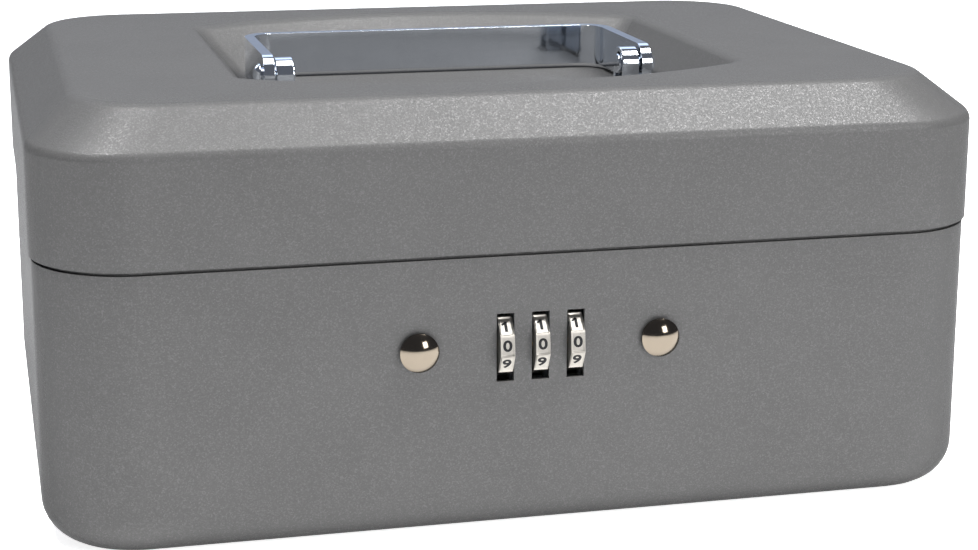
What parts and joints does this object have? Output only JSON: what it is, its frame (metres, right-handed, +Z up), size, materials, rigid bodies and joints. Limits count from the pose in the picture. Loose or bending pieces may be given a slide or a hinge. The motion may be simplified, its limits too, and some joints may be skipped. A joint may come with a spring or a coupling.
{
  "type": "cash box",
  "caption": "Steel cash box with a hinged recessed lid, folding strip handle, combination lock with thumb knobs and a lift-out coin tray.",
  "frame": {"origin": "centre of the flat underside, which is also the bottom centre of the overall box", "axes": "+X along the long side to the right seen from the front, -Y towards the front with the lock, +Y towards the hinges, +Z up"},
  "size_m": [0.2, 0.1642, 0.09],
  "materials": {
    "powder_coat": "grey metallic powder coat with a fine sparkle",
    "chrome": "bright chrome plate",
    "nickel": "polished nickel plate",
    "zinc_steel": "zinc plated steel",
    "spring_steel": "tempered spring steel",
    "brass": "turned brass",
    "dial_plastic": "silvered moulded number wheel",
    "tray_plastic": "fine-grained black moulding"
  },
  "bodies": {
    "base": {"base_shell": "powder_coat", "hinge_base_leaf_left": "zinc_steel", "hinge_base_leaf_right": "zinc_steel", "hinge_pin_left": "zinc_steel", "hinge_pin_right": "zinc_steel", "tray_ledge_left": "powder_coat", "tray_ledge_right": "powder_coat", "lock_frame": "zinc_steel", "lock_cover": "powder_coat", "dial_shaft": "zinc_steel", "dial_detent_spring": "spring_steel", "lock_nut_left": "zinc_steel", "lock_nut_right": "zinc_steel", "cover_screw_left": "zinc_steel", "cover_screw_right": "zinc_steel"},
    "lid": {"lid_shell": "powder_coat", "strike_plate": "zinc_steel", "hinge_lid_leaf_left": "zinc_steel", "hinge_lid_leaf_right": "zinc_steel", "handle_clip_left": "chrome", "handle_clip_right": "chrome"},
    "handle": {"handle_bail": "chrome", "handle_rivet_left": "chrome", "handle_rivet_right": "chrome"},
    "wheel_left": {"dial_left": "dial_plastic", "dial_sleeve_left": "brass"},
    "wheel_centre": {"dial_centre": "dial_plastic", "dial_sleeve_centre": "brass"},
    "wheel_right": {"dial_right": "dial_plastic", "dial_sleeve_right": "brass"},
    "slide": {"locking_slide": "zinc_steel", "knob_left": "nickel", "knob_right": "nickel", "knob_nut_left": "zinc_steel", "knob_nut_right": "zinc_steel"},
    "tray": {"coin_tray": "tray_plastic"}
  },
  "joints": [
    {"name": "lid_open", "type": "hinge", "parent": "base", "child": "lid", "pos_m": [0, 0.0799, 0.0587], "axis": [-1, 0, 0], "range_deg": [0, 100]},
    {"name": "handle_swing", "type": "hinge", "parent": "lid", "child": "handle", "pos_m": [0, -0.005, 0.0847], "axis": [1, 0, 0], "range_deg": [0, 170]},
    {"name": "dial_left_spin", "type": "hinge", "parent": "base", "child": "wheel_left", "pos_m": [-0.00735, -0.075, 0.0394], "axis": [1, 0, 0], "continuous": true},
    {"name": "dial_centre_spin", "type": "hinge", "parent": "base", "child": "wheel_centre", "pos_m": [0, -0.075, 0.0394], "axis": [1, 0, 0], "continuous": true},
    {"name": "dial_right_spin", "type": "hinge", "parent": "base", "child": "wheel_right", "pos_m": [0.00735, -0.075, 0.0394], "axis": [1, 0, 0], "continuous": true},
    {"name": "slide_travel", "type": "slide", "parent": "base", "child": "slide", "axis": [1, 0, 0], "range_m": [0, 0.0022]},
    {"name": "tray_lift", "type": "slide", "parent": "base", "child": "tray", "axis": [0, 0, 1], "range_m": [0, 0.014]}
  ]
}
